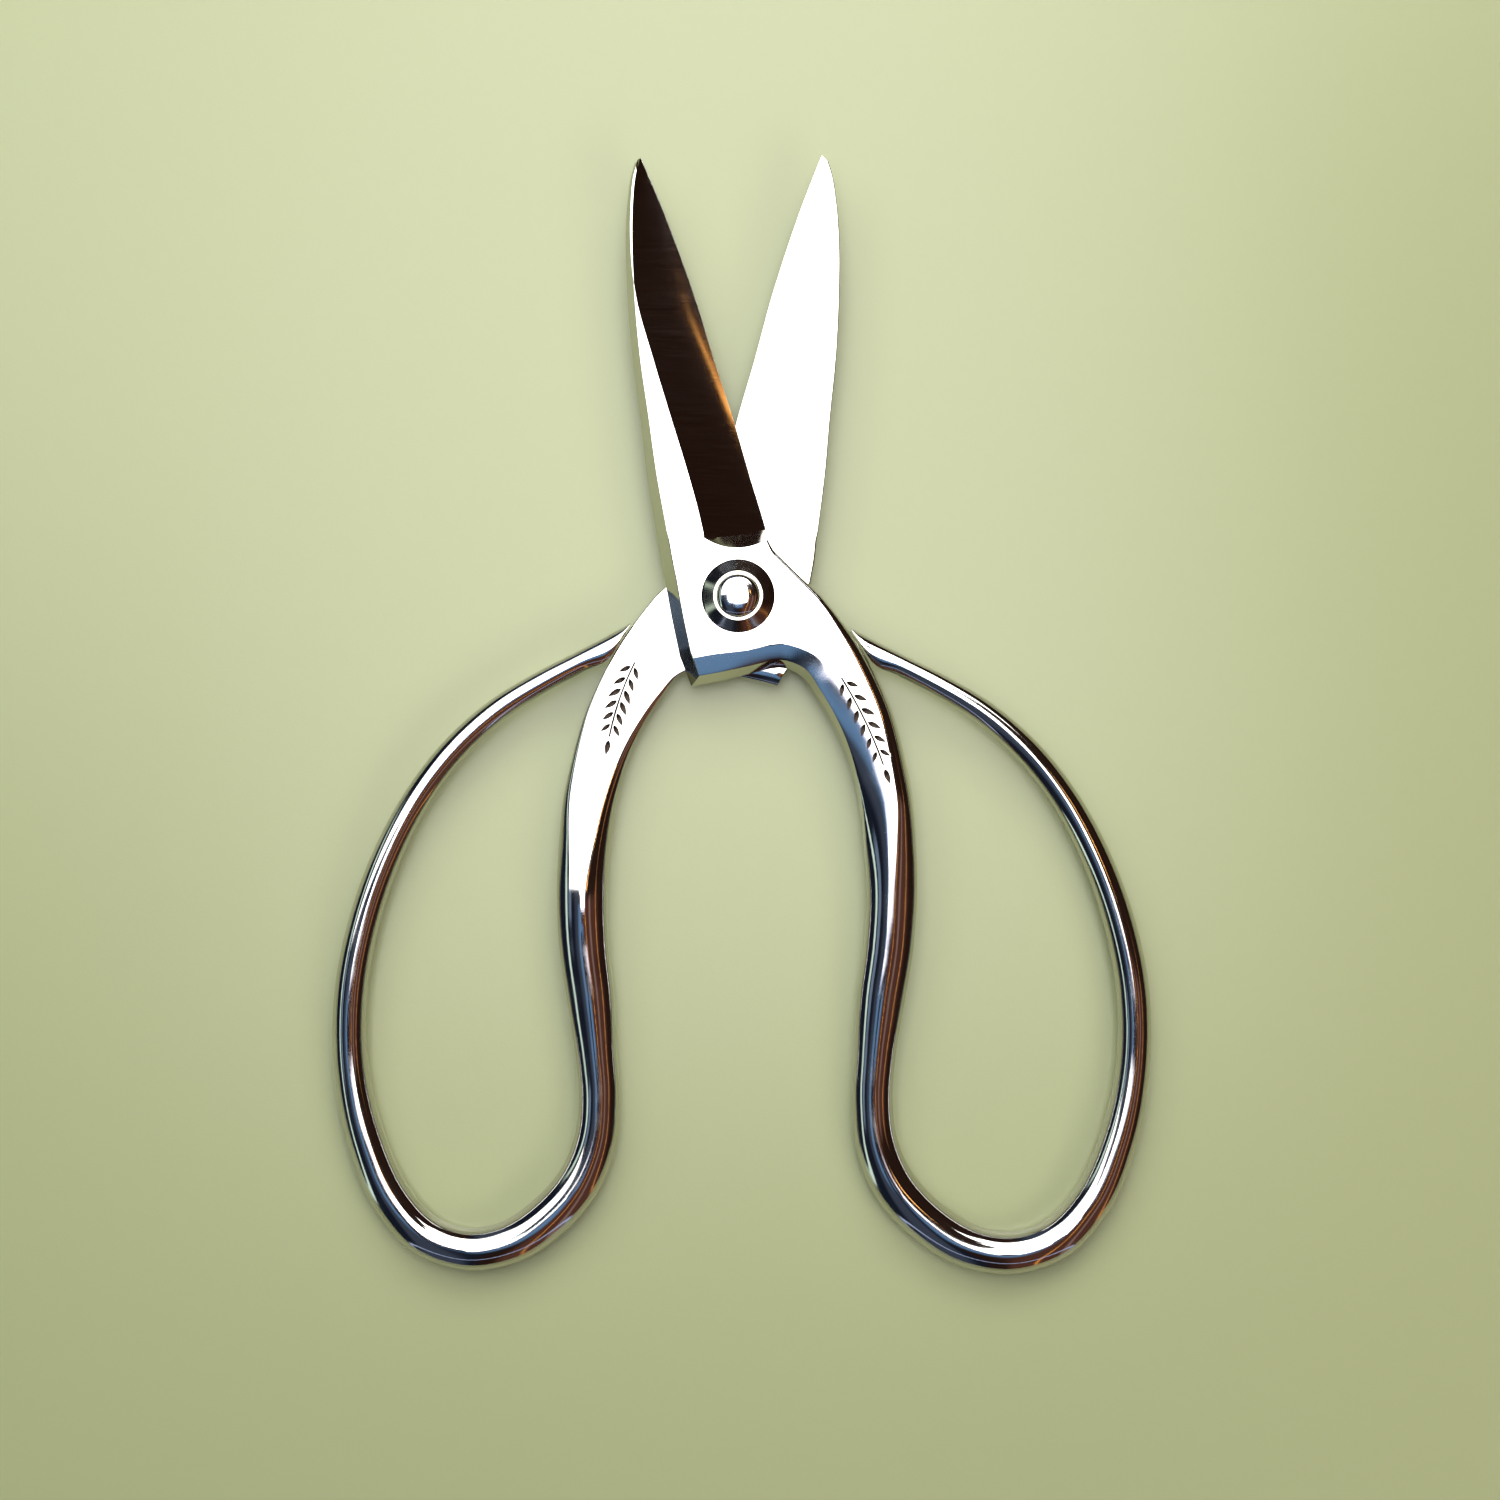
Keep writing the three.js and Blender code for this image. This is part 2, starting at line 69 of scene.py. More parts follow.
# The halves are forged by hand to one pattern, and the rear one differs a little: its blade is
# turned in the plane, the inner leg of its finger loop stands further out, the end of the
# loop's outer leg reaches further up the shank and its heel is drawn in.
FRONT_SET = {"blade_turn": 0.0, "leg_shift": 0.0, "loop_short": 0.0, "end_push": 0.0, "heel_in": 0.0}
REAR_SET = {
    "blade_turn": math.radians(-0.9),
    "leg_shift": 0.002,
    "loop_short": 0.012,
    "end_push": 0.0013,
    "heel_in": 0.0014,
}
LEG_X = 0.020  # the inner leg of the loop
LOOP_X = 0.060  # the outer side of the loop
LEG_FROM_Y = -0.012  # the leg moves out more and more below here
LEG_FULL = 0.055
UP_SHANK = (-0.58, 0.81)  # direction of the shank's edge where the loop's end lies along it
PUSH_FROM_Y = -0.070  # the outer leg is pushed up more and more from here
PUSH_FULL_Y = -0.020

# How finely the visual surface is divided.
RIB_STEP = 0.0011
CORNER_STEPS = 10
HOLLOW_STEPS = 14
FLAT_PARTS = (0.03, 0.2, 0.5, 0.8, 0.97)
ROUND_SIDES = 128
DOME_STEPS = 40
CONE_STEPS = 8
CREASE = math.radians(32)  # edges sharper than this are shaded as corners


# ---- ribs of one half ---------------------------------------------------------------------------
# A rib crosses the forging from its left outline to its right outline, seen from the front.
def side(under, lean, roll, power=2.0, under_power=2.0):
    """A rib's side: rounded lower corner (under), leaning wall (lean), rounded upper corner (roll).

    A corner is (inwards, height). Power 2 rolls it round, and 1 would cut it straight.
    """
    return {"under": under, "lean": lean, "roll": roll, "power": power, "under_power": under_power}


def right_side(lean, roll):
    return side((0.0003, 0.00025), lean, roll)


FORGED_SIDE = side((0.0003, 0.00025), BLOCK_THICK * DRAFT, (0.0002, 0.00015))
KEEN_SIDE = side((0.00005, 0.00005), 0.00002, (0.00005, 0.00005))


def blade_rib(left, bevel, right, thick, sag=0.0):
    spine = side((0.00015, 0.00012), thick * DRAFT, (0.00008, 0.00008))
    return {
        "left": left, "bevel": bevel, "right": right, "low": 0.0, "high": thick,
        "ground": True, "sag": sag, "sides": (spine, KEEN_SIDE), "is_bar": False,
    }


def block_rib(left, right, sides, **more):
    rib = {
        "left": left, "bevel": None, "right": right, "low": 0.0, "high": BLOCK_THICK,
        "ground": False, "sag": 0.0, "sides": sides, "is_bar": False,
    }
    rib.update(more)
    return rib


BLADE = [
    blade_rib((-0.01595, 0.0669), (-0.0155, 0.0673), (-0.0150, 0.0677), 0.0011),
    blade_rib((-0.0166, 0.0645), (-0.01615, 0.0645), (-0.0136, 0.0645), 0.0015),
    blade_rib((-0.0171, 0.0605), (-0.0165, 0.0605), (-0.0119, 0.0605), 0.0019),
    blade_rib((-0.01735, 0.0543), (-0.01655, 0.0543), (-0.0095, 0.0543), 0.0023),
    blade_rib((-0.01705, 0.0458), (-0.01565, 0.0458), (-0.0065, 0.0458), 0.00255),
    blade_rib((-0.0163, 0.0366), (-0.0131, 0.0366), (-0.0037, 0.0366), 0.0028),
    blade_rib((-0.0151, 0.0275), (-0.01035, 0.0275), (-0.00075, 0.0275), 0.00305),
    blade_rib((-0.01395, 0.0180), (-0.00745, 0.0180), (0.0020, 0.0180), 0.0035),
    blade_rib((-0.0130, 0.0120), (-0.00585, 0.0120), (0.00375, 0.0123), 0.0038),
]
SHOULDER_FOOT = blade_rib((-0.0126, 0.0096), (-0.00517, 0.00895), (0.0043, 0.0104), 0.0039, 0.0003)
SHOULDER_CREST = block_rib(
    (-0.0124, 0.0084), (0.0047, 0.0087),
    (FORGED_SIDE, right_side(0.0002, (0.0003, 0.00025))),
    bevel=(-0.0051, 0.0088), sag=0.0013,
)
HEEL_ROLLED = side((0.0022, 0.0007), 0.0013, (0.0029, 0.00042), 1.08)
LEFT_ROLLED = side((0.0003, 0.00025), 0.0011, (0.0024, 0.00045), 1.08)
BLOCK = [
    block_rib((-0.0119, 0.0055), (0.0056, 0.0071), (FORGED_SIDE, right_side(0.0002, (0.0005, 0.0004)))),
    block_rib((-0.0112, 0.0020), (0.0069, 0.0058), (FORGED_SIDE, right_side(0.0002, (0.0006, 0.0005)))),
    block_rib((-0.0103, -0.0030), (0.0090, 0.0038), (FORGED_SIDE, right_side(0.00025, (0.0006, 0.0005)))),
    block_rib((-0.0090, -0.0092), (0.0114, 0.0016), (FORGED_SIDE, right_side(0.0003, (0.0007, 0.0006)))),
]
HEEL = block_rib(
    (-0.0072, -0.0138), (0.0129, 0.0002),
    (HEEL_ROLLED, right_side(0.0003, (0.0008, 0.0007))),
    before=FORGED_SIDE,
)
SHANK = [
    block_rib((-0.0028, -0.0130), (0.0145, -0.0017), (HEEL_ROLLED, right_side(0.0003, (0.0009, 0.0008)))),
    block_rib((0.0024, -0.0117), (0.0163, -0.0040), (LEFT_ROLLED, right_side(0.0003, (0.0012, 0.001)))),
    block_rib((0.0063, -0.0109), (0.0183, -0.0068), (LEFT_ROLLED, right_side(0.0003, (0.0015, 0.0012)))),
    block_rib((0.0088, -0.0116), (0.0202, -0.0100), (LEFT_ROLLED, right_side(0.0003, (0.0017, 0.0014)))),
    block_rib(
        (0.0118, -0.0150), (0.0233, -0.0165),
        (
            side((0.0007, 0.0005), 0.0010, (0.0026, 0.0004), 1.1),
            side((0.0007, 0.0005), 0.0003, (0.0019, 0.0016)),
        ),
    ),
    block_rib(
        (0.0148, -0.0199), (0.0248, -0.0212),
        (
            side((0.0012, 0.0008), 0.0008, (0.0029, 0.0005), 1.1),
            side((0.0012, 0.0008), 0.0003, (0.0021, 0.0018)),
        ),
        low=-0.00015,
    ),
    block_rib(
        (0.0169, -0.0248), (0.0260, -0.0262),
        (
            side((0.0016, 0.0011), 0.0006, (0.0033, 0.0007), 1.2),
            side((0.0016, 0.0011), 0.0003, (0.0023, 0.0020)),
        ),
        low=-0.00065,
    ),
    block_rib(
        (0.0186, -0.0313), (0.0270, -0.0315),
        (
            side((0.0021, 0.0017), 0.0004, (0.0038, 0.0011), 1.3),
            side((0.0021, 0.0017), 0.0003, (0.0026, 0.0021)),
        ),
        low=-0.0016,
    ),
    block_rib(
        (0.0193, -0.0375), (0.0275, -0.0377),
        (
            side((0.0029, 0.0026), 0.0002, (0.0040, 0.0018), 1.5),
            side((0.0029, 0.0026), 0.0002, (0.0032, 0.0022), 1.8),
        ),
        low=-0.0026, high=0.0039,
    ),
]
# The finger loop is a bar: x, y and diameter along its centreline.
LOOP = [
    (0.0237, -0.0450, 0.0077), (0.0232, -0.0540, 0.0075), (0.0220, -0.0622, 0.0072),
    (0.0211, -0.0706, 0.0063), (0.0207, -0.0777, 0.0062), (0.0214, -0.0843, 0.0065),
    (0.0241, -0.0907, 0.0068), (0.0289, -0.0960, 0.0069), (0.0352, -0.1000, 0.0068),
    (0.0420, -0.1012, 0.0066), (0.0489, -0.0991, 0.0065), (0.0545, -0.0932, 0.0062),
    (0.0586, -0.0838, 0.0058), (0.0609, -0.0724, 0.0052), (0.0609, -0.0610, 0.0051),
    (0.0586, -0.0494, 0.0048), (0.0550, -0.0396, 0.0045), (0.0506, -0.0314, 0.0042),
    (0.0449, -0.0240, 0.0040), (0.0382, -0.0180, 0.0037), (0.0307, -0.0134, 0.0034),
    (0.0254, -0.0107, 0.0032),
]
OUTER_LEG = 9  # from this one on, the points lie on the loop's outer leg
# The bar ends cut off along the shank: left and right points, thickness, how far across its crest
# is, and how far down its half thickness the right wall starts.
FEATHER = [
    ((0.0206, -0.0065), (0.0205, -0.0099), 0.0032, 0.58, 0.28),
    ((0.01885, -0.00555), (0.0189, -0.0074), 0.0031, 0.92, 0.08),
    ((0.0174, -0.0048), (0.0175, -0.0052), 0.0019, 0.88, 0.08),
]
BAR_ROUND = 0.985  # a bar's sides meet over this much of its width, so its crest is a narrow flat
# The leg of the loop next to the shank is flatter than round, with a soft ridge, up to this rib.
LEG_END = 7
LEG_FLAT = 0.62
LEG_POWER = 1.7


def bar_rib(left, right, thick, roundness=1.0):
    half_width = math.dist(left, right) / 2 * BAR_ROUND
    quarter = (half_width, thick / 2 * (LEG_FLAT + (1 - LEG_FLAT) * roundness))
    power = LEG_POWER + (2 - LEG_POWER) * roundness
    curved = side(quarter, 0.0, quarter, power, power)
    low = -thick / 2 - LAP_GAP
    return block_rib(left, right, (curved, curved), low=low, high=thick / 2 - LAP_GAP, is_bar=True)


def feather_rib(left, right, thick, crest, drop):
    """A section of the bar cut off by the shank; its right side is a wall that starts below the crest."""
    width = math.dist(left, right)
    outer = (width * crest, thick / 2)
    inner = (width * (1 - crest) * BAR_ROUND, thick / 2 * drop)
    sides = (side(outer, 0.0, outer), side(inner, 0.0, inner))
    low = -thick / 2 - LAP_GAP
    return block_rib(left, right, sides, low=low, high=thick / 2 - LAP_GAP, is_bar=True)


def loop_rib(line, index):
    x, y, diameter = line[index]
    after = line[min(index + 1, len(line) - 1)]
    before = line[max(index - 1, 0)]
    run = math.dist(after[:2], before[:2])
    across = ((after[1] - before[1]) / run, -(after[0] - before[0]) / run)
    reach = diameter / 2
    left = (x + across[0] * reach, y + across[1] * reach)
    right = (x - across[0] * reach, y - across[1] * reach)
    return bar_rib(left, right, diameter, clamp(index / LEG_END) ** 2)


def clamp(value, low=0.0, high=1.0):
    return max(low, min(high, value))


def turn_blade(point, hand_set):
    cosine = math.cos(hand_set["blade_turn"])
    sine = math.sin(hand_set["blade_turn"])
    return (point[0] * cosine - point[1] * sine, point[0] * sine + point[1] * cosine)


def set_loop(point, hand_set):
    depth = clamp((LEG_FROM_Y - point[1]) / LEG_FULL)
    inward = (LOOP_X - point[0]) / (LOOP_X - LEG_X)
    x = point[0] + hand_set["leg_shift"] * depth * inward
    return (x, point[1] * (1 - hand_set["loop_short"] * depth))


def push_end(point, hand_set):
    push = hand_set["end_push"] * clamp((point[1] - PUSH_FROM_Y) / (PUSH_FULL_Y - PUSH_FROM_Y))
    return (point[0] + UP_SHANK[0] * push, point[1] + UP_SHANK[1] * push)


def draw_in(point, hand_set):
    return (point[0] + hand_set["heel_in"], point[1])


def reset_rib(rib, move, hand_set):
    moved = dict(rib)
    for key in ("left", "bevel", "right"):
        moved[key] = rib[key] and move(rib[key], hand_set)
    return moved


def all_ribs(hand_set):
    """The ribs from blade tip to bar end, and which of them are corners along the forging."""
    line = []
    for index, (x, y, diameter) in enumerate(LOOP):
        place = set_loop((x, y), hand_set)
        if index > OUTER_LEG:
            place = push_end(place, hand_set)
        line.append((*place, diameter))
    loop = [loop_rib(line, index) for index in range(len(line))]
    feather = [reset_rib(feather_rib(*end), push_end, hand_set) for end in FEATHER]
    blade = [reset_rib(rib, turn_blade, hand_set) for rib in [*BLADE, SHOULDER_FOOT, SHOULDER_CREST]]
    shank = [reset_rib(rib, set_loop, hand_set) for rib in SHANK]
    heel_rib = {**HEEL, "left": draw_in(HEEL["left"], hand_set)}
    ribs = [*blade, *BLOCK, heel_rib, *shank, *loop, *feather]
    heel = len(blade) + len(BLOCK)
    return ribs, {len(blade) - 2, len(blade) - 1, heel - 1, heel}


# ---- from ribs to a surface ---------------------------------------------------------------------
SMOOTH_TURN = 0.98  # cosine of the turn of an outline up to which its corner isn't mitred


def unit_normal(start, end, turn):
    """The unit vector square to a line, to its left for turn 1 and to its right for -1."""
    run = math.dist(start[:2], end[:2])
    return np.array((-turn * (end[1] - start[1]) / run, turn * (end[0] - start[0]) / run))


def insetter(points, index, turn):
    """Moves an outline's corner inwards by one distance from each of its two edges."""
    last = len(points) - 1
    here = np.array(points[index])
    before = unit_normal(points[max(index - 1, 0)], points[max(index, 1)], turn)
    after = unit_normal(points[min(index, last - 1)], points[min(index + 1, last)], turn)
    dot = float(before @ after)

    def smooth(reach, reach_before):
        return here + reach * (before + after) / (1 + dot)

    def mitred(reach, reach_before):
        along = reach_before * (before - dot * after) + reach * (after - dot * before)
        return here + along / (1 - dot * dot)

    return smooth if dot > SMOOTH_TURN else mitred


def towards(start, end):
    """Moves a bar's side straight across it."""
    start = np.array(start)
    ahead = (np.array(end) - start) / math.dist(start, end)
    return lambda reach, reach_before: start + ahead * reach


def side_profile(inset, form, before, low, top):
    """Points up one side of a section; before is the form on the corner's other edge."""
    points = []
    bend = 2 / form["under_power"]
    for step in range(CORNER_STEPS + 1):
        angle = step / CORNER_STEPS * math.pi / 2
        inwards = 1 - math.sin(angle) ** bend
        rise = form["under"][1] * (1 - max(0.0, math.cos(angle)) ** bend)
        points.append((*inset(form["under"][0] * inwards, before["under"][0] * inwards), low + rise))
    bend = 2 / form["power"]
    for step in range(CORNER_STEPS + 1):
        angle = step / CORNER_STEPS * math.pi / 2
        inwards = 1 - max(0.0, math.cos(angle)) ** bend
        drop = form["roll"][1] * (1 - math.sin(angle) ** bend)
        reach = form["lean"] + form["roll"][0] * inwards
        reach_before = before["lean"] + before["roll"][0] * inwards
        points.append((*inset(reach, reach_before), top - drop))
    return [np.array(point) for point in points]


def section(ribs, index):
    """The closed ring of points of one rib, starting on the mating face at the left."""
    rib = ribs[index]
    floor = MATING_Z + LAP_GAP
    low = floor + rib["low"]
    high = floor + rib["high"]
    keen_top = low + EDGE_THICK if rib["ground"] else high
    if rib["is_bar"]:
        left_inset = towards(rib["left"], rib["right"])
        right_inset = towards(rib["right"], rib["left"])
    else:
        left_inset = insetter([one["left"] for one in ribs], index, 1)
        right_inset = insetter([one["right"] for one in ribs], index, -1)
    left_form, right_form = rib["sides"]
    left = side_profile(left_inset, left_form, rib.get("before", left_form), low, high)
    right = side_profile(right_inset, right_form, right_form, low, keen_top)
    edge = right[-1]
    ring = [left[0] + (right[0] - left[0]) * part for part in FLAT_PARTS]
    ring += right
    along = np.zeros(2)
    bevel = (left[-1] + edge) / 2
    if rib["bevel"]:
        bevel = np.array((*rib["bevel"], high))
        along = unit_normal(bevel, edge, -1)
    for step in range(1, HOLLOW_STEPS + 1):
        part = 1 - step / HOLLOW_STEPS
        point = bevel + (edge - bevel) * part
        point[:2] += along * 4 * part * (1 - part) * rib["sag"]
        if rib["ground"]:
            point[2] -= (high - keen_top) * HOLLOW * part * (1 - part)
        ring.append(point)
    ring += [bevel + (left[-1] - bevel) * part for part in FLAT_PARTS]
    ring += reversed(left)
    return np.array(ring)


def slopes(values, positions, index, corners, from_left):
    """Slope of every ring point at a rib, one-sided at the ends and at the forging's corners."""
    def chord(a, b):
        return (values[b] - values[a]) / (positions[b] - positions[a])

    last = len(values) - 1
    at_corner = index in corners
    if index == 0 or (at_corner and not from_left):
        return chord(index, index + 1)
    if index == last or at_corner:
        return chord(index - 1, index)
    before = positions[index] - positions[index - 1]
    after = positions[index + 1] - positions[index]
    return (chord(index - 1, index) * after + chord(index, index + 1) * before) / (before + after)


def swept_rings(hand_set):
    """Rings along one half, and how many of them lie on the ground blade."""
    ribs, corners = all_ribs(hand_set)
    ground_ribs = sum(rib["ground"] for rib in ribs)
    ground_rows = 0
    sections = [section(ribs, index) for index in range(len(ribs))]
    middles = [(np.array(rib["left"]) + np.array(rib["right"])) / 2 for rib in ribs]
    positions = [0.0]
    for last, here in zip(middles, middles[1:]):
        positions.append(positions[-1] + float(np.linalg.norm(here - last)))
    rings = []
    for index in range(len(ribs) - 1):
        span = positions[index + 1] - positions[index]
        slope_a = slopes(sections, positions, index, corners, False)
        slope_b = slopes(sections, positions, index + 1, corners, True)
        steps = max(2, math.ceil(span / RIB_STEP))
        for step in range(steps):
            part = step / steps
            square = part * part
            cube = square * part
            ring = sections[index] * (2 * cube - 3 * square + 1)
            ring = ring + span * slope_a * (cube - 2 * square + part)
            ring += sections[index + 1] * (3 * square - 2 * cube) + span * slope_b * (cube - square)
            rings.append(ring)
        if index + 2 == ground_ribs:
            ground_rows = len(rings) + 1
    rings.append(sections[-1])
    return np.array(rings), ground_rows


# Columns of a ring: the keen edge and the line where the grind starts.
EDGE_COLUMN = len(FLAT_PARTS) + 2 * (CORNER_STEPS + 1) - 1
GRIND_COLUMN = EDGE_COLUMN + HOLLOW_STEPS


def new_object(name, points, faces, material):
    mesh = bpy.data.meshes.new(name)
    mesh.from_pydata([tuple(point) for point in points], [], faces)
    mesh.update()
    mesh.materials.append(material)
    made = bpy.data.objects.new(name, mesh)
    bpy.context.scene.collection.objects.link(made)
    return made


def bands(first, rows, columns):
    """The four-sided faces between closed rings of points that follow one another from first on."""
    faces = []
    for row in range(rows - 1):
        for column in range(columns):
            a = first + row * columns + column
            b = first + row * columns + (column + 1) % columns
            faces.append((a, b, b + columns, a + columns))
    return faces


def closed_surface(rings):
    """Points and faces of the skin through the rings, with a fan at each end."""
    rows, columns, _ = rings.shape
    points = [tuple(point) for point in rings.reshape(-1, 3)]
    faces = bands(0, rows, columns)
    for row in (0, rows - 1):
        hub = len(points)
        points.append(tuple(rings[row].mean(axis=0)))
        for column in range(columns):
            a = row * columns + column
            b = row * columns + (column + 1) % columns
            faces.append((hub, b, a) if row == 0 else (hub, a, b))
    return points, faces


def carve(target, cutter):
    """Cuts one object out of another and keeps the cutter's material on the cut."""
    modifier = target.modifiers.new("carve", "BOOLEAN")
    modifier.operation = "DIFFERENCE"
    modifier.solver = "EXACT"
    modifier.material_mode = "TRANSFER"
    modifier.object = cutter
    apply_modifiers(target)
    bpy.data.objects.remove(cutter)


def apply_modifiers(target):
    graph = bpy.context.evaluated_depsgraph_get()
    mesh = bpy.data.meshes.new_from_object(target.evaluated_get(graph), depsgraph=graph)
    target.modifiers.clear()
    target.data = mesh


def clean(target):
    """Joins doubled points, such as those on the axis of a turned piece, and turns faces outwards."""
    work = bmesh.new()
    work.from_mesh(target.data)
    bmesh.ops.remove_doubles(work, verts=work.verts, dist=1e-7)
    bmesh.ops.recalc_face_normals(work, faces=work.faces)
    work.to_mesh(target.data)
    work.free()


def spot(point):
    """A point in whole micrometres, as a key that survives rounding."""
    return tuple(round(value * 1e6) for value in point)


def mark_edges(target, creases=frozenset()):
    """Shades a piece smooth but for its corners and the edges between the given spots."""
    mesh = target.data
    for polygon in mesh.polygons:
        polygon.use_smooth = True
    mesh.set_sharp_from_angle(angle=CREASE)
    on_crease = [spot(vertex.co) in creases for vertex in mesh.vertices]
    for edge in mesh.edges:
        if all(on_crease[index] for index in edge.vertices):
            edge.use_edge_sharp = True


def settle_normals(target):
    """Keeps the shading of large faces flat up to their rounded edges."""
    weighted = target.modifiers.new("weighted_normals", "WEIGHTED_NORMAL")
    weighted.keep_sharp = True
    apply_modifiers(target)


def turned(name, profile, material):
    """A piece turned round Z from (radius, height) points listed upwards round its outside."""
    angles = [2 * math.pi * column / ROUND_SIDES for column in range(ROUND_SIDES)]
    points = []
    for radius, height in profile:
        points += [(radius * math.cos(angle), radius * math.sin(angle), height) for angle in angles]
    made = new_object(name, points, bands(0, len(profile), ROUND_SIDES), material)
    clean(made)
    return made


# ---- struck sprig ---------------------------------------------------------------------------------
# Where each sprig starts and ends on its half, before the rear half is turned over.
FRONT_SPRIG = ((0.0158, -0.0125), (0.0228, -0.0275))
REAR_SPRIG = ((0.0161, -0.0098), (0.0205, -0.0226))
SPRIG_BOW = 0.0005  # how far the stem's middle stands out from a straight line
STEM_PARTS = 12
STEM_REACH = 0.9  # of the sprig's length
STEM_WIDTH = 0.0003
STEM_DEPTH = 0.00014
LEAF_PAIRS = 6
FIRST_LEAF = 0.06  # where the pairs start and how far they spread, as parts of the sprig's length
LEAF_RUN = 0.84
TIP_LEAF = 0.94
WIDEST_PAIR = 0.35
LEAF_PARTS = 8
LEAF_LENGTH = 0.0024
LEAF_WIDTH = 0.00088
LEAF_TIP = 0.00004  # least width
LEAF_DEPTH = 0.0004
LEAF_SPREAD = math.radians(40)
LEAF_CLEAR = 0.0003  # from the stem
FLARE = 2.0  # the cutting wedge is this much wider above the face than in it


def groove(path, widths, face_height, depth, up):
    """A closed wedge along a path: a V groove once it is cut. Widths are per path point."""
    rows = []
    for index, place in enumerate(path):
        last = path[max(index - 1, 0)]
        after = path[min(index + 1, len(path) - 1)]
        ahead = (after - last) / np.linalg.norm(after - last)
        across = np.array((-ahead[1], ahead[0]))
        reach = across * (widths[index] / 2) * FLARE
        deep = depth * widths[index] / max(widths)
        face = face_height(float(place[1]))
        top = face + up * deep
        rows.append([(*(place - reach), top), (*(place + reach), top), (*place, face - up * deep)])
    return np.array(rows)


def wedges_object(name, wedges, material):
    """One object holding several closed wedges that stand clear of one another."""
    points = []
    faces = []
    for rows in wedges:
        first = len(points)
        points += [tuple(point) for row in rows for point in row]
        faces += bands(first, len(rows), 3)
        faces.append((first + 2, first + 1, first))
        last = first + 3 * (len(rows) - 1)
        faces.append((last, last + 1, last + 2))
    made = new_object(name, points, faces, material)
    clean(made)
    return made


def leaf_wedge(base, heading, size, face_height, up):
    """One pointed leaf, widest in its lower half."""
    parts = [row / LEAF_PARTS for row in range(LEAF_PARTS + 1)]
    ahead = np.array((math.cos(heading), math.sin(heading)))
    path = [base + ahead * (LEAF_LENGTH * size) * part for part in parts]
    swell = [math.sin(math.pi * (part * 0.96 + 0.02) ** 0.75) for part in parts]
    widths = [max(LEAF_TIP, LEAF_WIDTH * size * wide) for wide in swell]
    return groove(path, widths, face_height, LEAF_DEPTH, up)


def sprig_wedges(start, end, face_height, up):
    """A stem with paired leaves and one at its tip, between two points of a face."""
    start = np.array(start)
    end = np.array(end)
    run = float(np.linalg.norm(end - start))
    ahead = (end - start) / run
    across = np.array((-ahead[1], ahead[0]))

    def place(part):
        return start + (end - start) * part + across * SPRIG_BOW * 4 * part * (1 - part)

    def heading(low, high):
        tangent = place(high) - place(low)
        return math.atan2(tangent[1], tangent[0])

    stem = [place(step / STEM_PARTS * STEM_REACH) for step in range(STEM_PARTS + 1)]
    wedges = [groove(stem, [STEM_WIDTH] * len(stem), face_height, STEM_DEPTH, up)]
    for pair in range(LEAF_PAIRS):
        part = FIRST_LEAF + LEAF_RUN * pair / LEAF_PAIRS
        ahead_here = heading(part - 0.02, part + 0.02)
        size = 1.0 - 0.5 * abs(part - WIDEST_PAIR)
        for turn in (1, -1):
            root = place(part) + across * turn * LEAF_CLEAR
            wedges.append(leaf_wedge(root, ahead_here + turn * LEAF_SPREAD, size, face_height, up))
    tip = place(TIP_LEAF)
    wedges.append(leaf_wedge(tip, heading(STEM_REACH, TIP_LEAF), 1.0, face_height, up))
    return wedges


def engrave(target, sprig, face_height, up, material):
    carve(target, wedges_object("wedges", sprig_wedges(*sprig, face_height, up), material))


# ---- materials ------------------------------------------------------------------------------------
# How far the polishing lines of each half are turned in its plane.
FRONT_GRAIN = math.radians(82)
REAR_GRAIN = math.radians(98)


